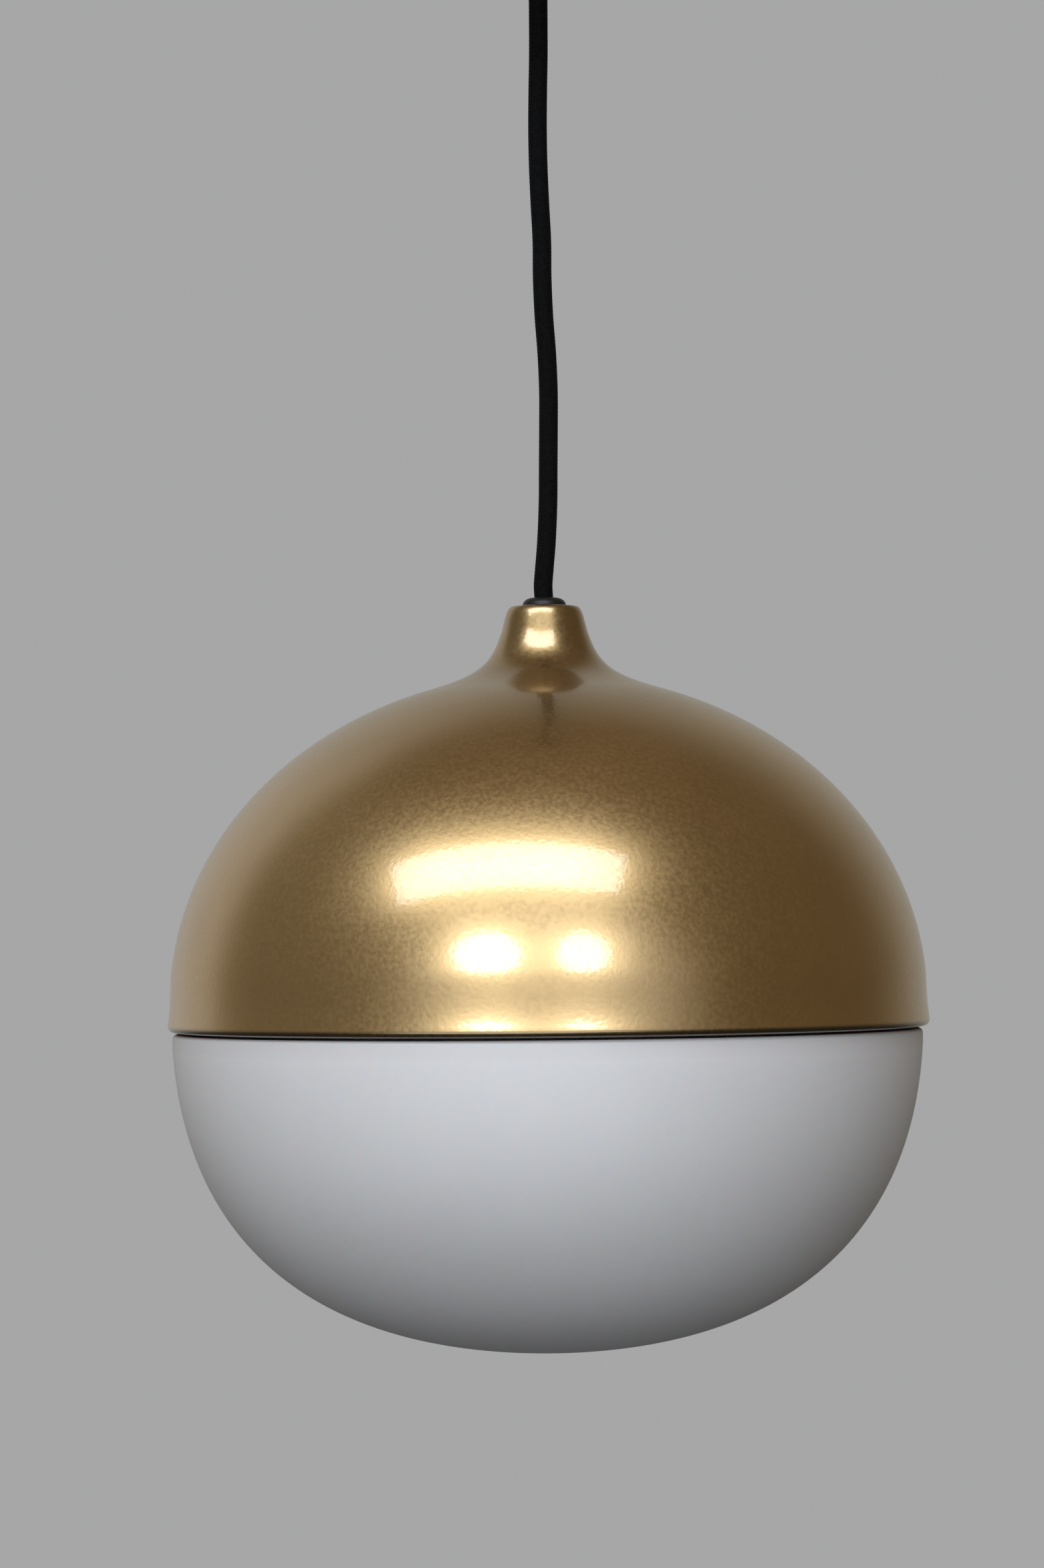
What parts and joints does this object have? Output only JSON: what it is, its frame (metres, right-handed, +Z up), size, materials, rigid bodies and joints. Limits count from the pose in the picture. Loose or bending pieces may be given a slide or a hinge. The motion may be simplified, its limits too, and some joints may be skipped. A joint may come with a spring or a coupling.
{
  "type": "pendant ceiling light",
  "caption": "Pendant ceiling light: gold metal dome with a flared neck over an opal glass bowl, on a black textile cord from a cup canopy.",
  "frame": {"origin": "middle of the ceiling plate's top face, which lies on the ceiling", "axes": "+Z up, +X to the right and +Y away from someone who looks at the lamp's front"},
  "size_m": [0.24, 0.24, 0.4756],
  "materials": {
    "gold_metal": "gold-toned lacquer, satin gloss with a fine orange peel",
    "opal_glass": "acid-etched opal white, satin",
    "cord_textile": "braided black textile cover, matte",
    "black_plastic": "moulded, satin",
    "canopy_paint": "fine-texture powder coat, matte",
    "zinc_steel": "bright zinc plate",
    "spring_steel": "tempered spring strip",
    "black_steel": "black oxide",
    "nickel": "nickel plate, satin",
    "brass": "turned, bright",
    "ivory_plastic": "moulded, matte",
    "white_ceramic": "glazed",
    "wire_brown": "extruded insulation",
    "wire_blue": "extruded insulation",
    "wire_green": "green and yellow insulation",
    "bulb_diffuser": "opal diffuser",
    "bulb_plastic": "moulded, white",
    "black_insulator": "vitreous black"
  },
  "bodies": {
    "ceiling": {"ceiling_bracket": "zinc_steel", "block_screw": "zinc_steel", "terminal_block": "ivory_plastic", "terminal_sleeves": "brass", "terminal_screws": "zinc_steel", "canopy_screws": "black_steel"},
    "canopy": {"canopy": "canopy_paint", "canopy_grip": "black_plastic", "canopy_grip_nut": "zinc_steel", "canopy_grip_screw": "black_steel", "cord_tail": "cord_textile", "wire_live": "wire_brown", "wire_neutral": "wire_blue", "wire_earth": "wire_green"},
    "cord_top": {"cord_upper": "cord_textile"},
    "pendant": {"cord_lower": "cord_textile", "neck_grip": "black_plastic", "neck_washer": "zinc_steel", "neck_nut": "zinc_steel", "shade": "gold_metal", "cord_end": "cord_textile", "lamp_wire_live": "wire_brown", "lamp_wire_neutral": "wire_blue", "lamp_wire_earth": "wire_green", "holder_cap": "black_plastic", "holder_body": "white_ceramic", "holder_terminal_screws": "brass", "holder_sleeve": "nickel", "centre_contact": "brass", "holder_shell": "black_plastic", "ring_upper": "black_plastic", "ring_lower": "black_plastic", "carrier": "zinc_steel", "clip_1": "spring_steel", "clip_2": "spring_steel", "clip_3": "spring_steel", "clip_rivets": "nickel"},
    "glass": {"glass_bowl": "opal_glass"},
    "bulb": {"bulb_globe": "bulb_diffuser", "bulb_body": "bulb_plastic", "bulb_cap": "nickel", "bulb_insulator": "black_insulator", "bulb_contact": "nickel"}
  },
  "joints": [
    {"name": "canopy_drop", "type": "slide", "parent": "ceiling", "child": "canopy", "axis": [0, 0, -1], "range_m": [0, 0.06], "deforming": ["wire_live", "wire_neutral", "wire_earth"]},
    {"name": "swing_side", "type": "hinge", "parent": "canopy", "child": "cord_top", "pos_m": [0, 0, -0.04], "axis": [0, 1, 0], "range_deg": [-20, 20], "deforming": ["cord_upper"]},
    {"name": "swing_fore", "type": "hinge", "parent": "cord_top", "child": "pendant", "pos_m": [0, 0, -0.04], "axis": [1, 0, 0], "range_deg": [-20, 20], "deforming": ["cord_lower"]},
    {"name": "glass_drop", "type": "slide", "parent": "pendant", "child": "glass", "axis": [0, 0, -1], "range_m": [0, 0.12], "deforming": ["clip_1", "clip_2", "clip_3"]},
    {"name": "bulb_out", "type": "slide", "parent": "pendant", "child": "bulb", "axis": [0, 0, -1], "range_m": [0, 0.028]}
  ]
}
